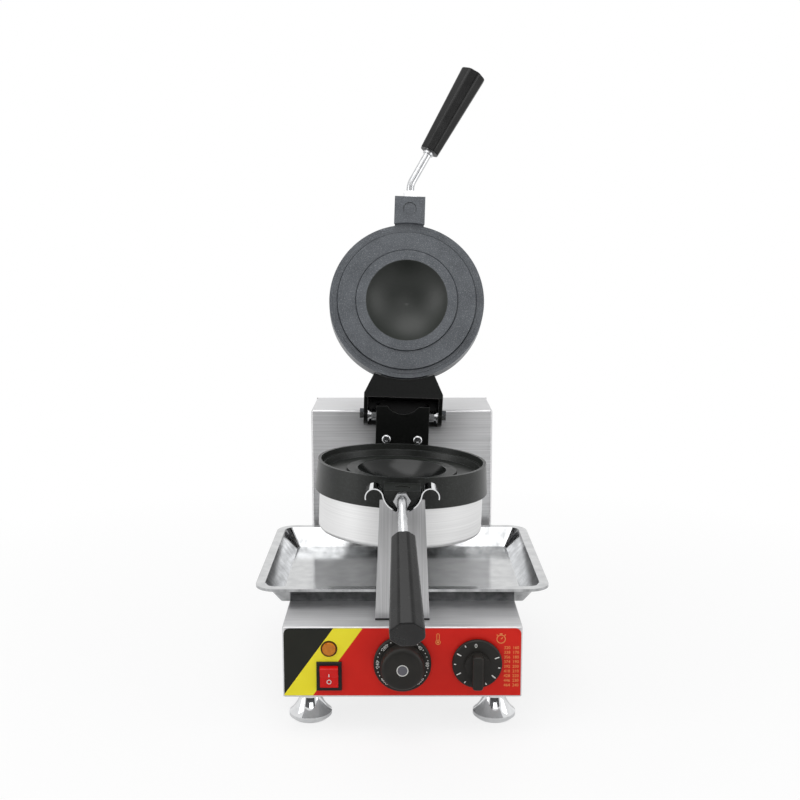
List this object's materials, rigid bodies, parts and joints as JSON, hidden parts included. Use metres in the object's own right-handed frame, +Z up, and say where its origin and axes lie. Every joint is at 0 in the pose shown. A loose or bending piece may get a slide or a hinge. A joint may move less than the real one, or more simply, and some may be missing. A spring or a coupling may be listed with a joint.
{
  "type": "rotating sandwich press",
  "caption": "Countertop press with a hinged round lid over a round pan, both turning about one axis above a drip tray and a control box.",
  "frame": {"origin": "on the worktop, under the middle of the overall box", "axes": "+Z up, +Y from the control panel to the back, +X to the right as seen from the front"},
  "size_m": [0.323, 0.6027, 0.7305],
  "materials": {
    "stainless_sheet": "brushed stainless",
    "polished_tray": "bright stainless",
    "chrome": "polished chrome",
    "zinc_steel": "bright zinc plated",
    "satin_aluminium": "satin spun aluminium",
    "coated_casting": "cast aluminium, black non-stick coat",
    "black_plate": "black powder coat on steel",
    "grip_plastic": "gloss black phenolic",
    "knob_plastic": "matt black",
    "printed_film": "printed polycarbonate film",
    "red_plastic": "gloss red",
    "amber_plastic": "amber lens",
    "dark_plastic": "moulded housing",
    "bronze": "sintered bronze",
    "rubber": "black rubber",
    "insulation": "pressed ceramic fibre",
    "heater_sheath": "oxidised heater sheath",
    "cast_iron": "machined casting"
  },
  "bodies": {
    "frame": {"base_shell": "stainless_sheet", "bottom_plate": "stainless_sheet", "cover_screws": "zinc_steel", "foot_nuts": "zinc_steel", "front_overlay": "printed_film", "switch_frame": "dark_plastic", "lamp_lens": "amber_plastic", "lamp_body": "dark_plastic", "thermostat_body": "dark_plastic", "timer_body": "dark_plastic", "terminal_block": "dark_plastic", "cable_gland": "dark_plastic", "tower_shell": "stainless_sheet", "tower_rear_cover": "stainless_sheet", "bearing_block": "cast_iron", "bearing_screws": "zinc_steel", "shaft_bushes": "bronze", "column": "stainless_sheet", "column_pad": "rubber", "cradle_clip": "chrome", "cradle_rivet": "zinc_steel"},
    "lid": {"upper_pan": "coated_casting", "upper_cover": "satin_aluminium", "upper_cover_bolt": "zinc_steel", "upper_insulation": "insulation", "upper_heater": "heater_sheath", "upper_barrel_nut": "coated_casting", "upper_handle_rod": "zinc_steel", "upper_handle_nut": "zinc_steel", "upper_grip": "grip_plastic", "lid_yoke": "black_plate", "lid_bolts": "zinc_steel"},
    "rotor": {"lower_pan": "coated_casting", "lower_cover": "satin_aluminium", "lower_cover_bolt": "zinc_steel", "lower_insulation": "insulation", "lower_heater": "heater_sheath", "lower_barrel_nut": "coated_casting", "lower_handle_rod": "zinc_steel", "lower_handle_nut": "zinc_steel", "lower_grip": "grip_plastic", "pan_bracket": "black_plate", "bracket_screws": "zinc_steel", "pan_bolts": "zinc_steel", "hinge_bolts": "chrome", "hinge_nuts": "zinc_steel", "hinge_spacers": "zinc_steel", "rotor_shaft": "zinc_steel", "shaft_collar": "zinc_steel", "collar_screw": "zinc_steel"},
    "tray": {"drip_tray": "polished_tray"},
    "rocker": {"rocker_button": "red_plastic"},
    "thermostat_dial": {"thermostat_knob": "knob_plastic", "thermostat_spindle": "zinc_steel"},
    "timer_dial": {"timer_knob": "knob_plastic", "timer_spindle": "zinc_steel"},
    "leg_front_left": {"foot_front_left": "chrome"},
    "leg_front_right": {"foot_front_right": "chrome"},
    "leg_rear_left": {"foot_rear_left": "chrome"},
    "leg_rear_right": {"foot_rear_right": "chrome"}
  },
  "joints": [
    {"name": "rotor_turn", "type": "hinge", "parent": "frame", "child": "rotor", "pos_m": [0, 0.00507, 0.2525], "axis": [0, 1, 0], "range_deg": [-30, 28]},
    {"name": "lid_hinge", "type": "hinge", "parent": "rotor", "child": "lid", "pos_m": [0.00117, 0.14887, 0.28598], "axis": [0.9994, 0, -0.0349], "range_deg": [0, 104]},
    {"name": "tray_slide", "type": "slide", "parent": "frame", "child": "tray", "axis": [1, 0, 0], "range_m": [0, 0.35]},
    {"name": "rocker_rock", "type": "hinge", "parent": "frame", "child": "rocker", "pos_m": [-0.0764, -0.16133, 0.062], "axis": [1, 0, 0], "range_deg": [-20, 0]},
    {"name": "thermostat_turn", "type": "hinge", "parent": "frame", "child": "thermostat_dial", "pos_m": [0, -0.16033, 0.0763], "axis": [0, 1, 0], "range_deg": [0, 300]},
    {"name": "timer_turn", "type": "hinge", "parent": "frame", "child": "timer_dial", "pos_m": [0.0777, -0.16033, 0.0763], "axis": [0, 1, 0], "range_deg": [0, 300]},
    {"name": "leg_front_left_level", "type": "hinge", "parent": "frame", "child": "leg_front_left", "pos_m": [-0.0995, -0.12033, 0], "axis": [0, 0, 1], "continuous": true},
    {"name": "leg_front_right_level", "type": "hinge", "parent": "frame", "child": "leg_front_right", "pos_m": [0.0995, -0.12033, 0], "axis": [0, 0, 1], "continuous": true},
    {"name": "leg_rear_left_level", "type": "hinge", "parent": "frame", "child": "leg_rear_left", "pos_m": [-0.0995, 0.24767, 0], "axis": [0, 0, 1], "continuous": true},
    {"name": "leg_rear_right_level", "type": "hinge", "parent": "frame", "child": "leg_rear_right", "pos_m": [0.0995, 0.24767, 0], "axis": [0, 0, 1], "continuous": true}
  ]
}
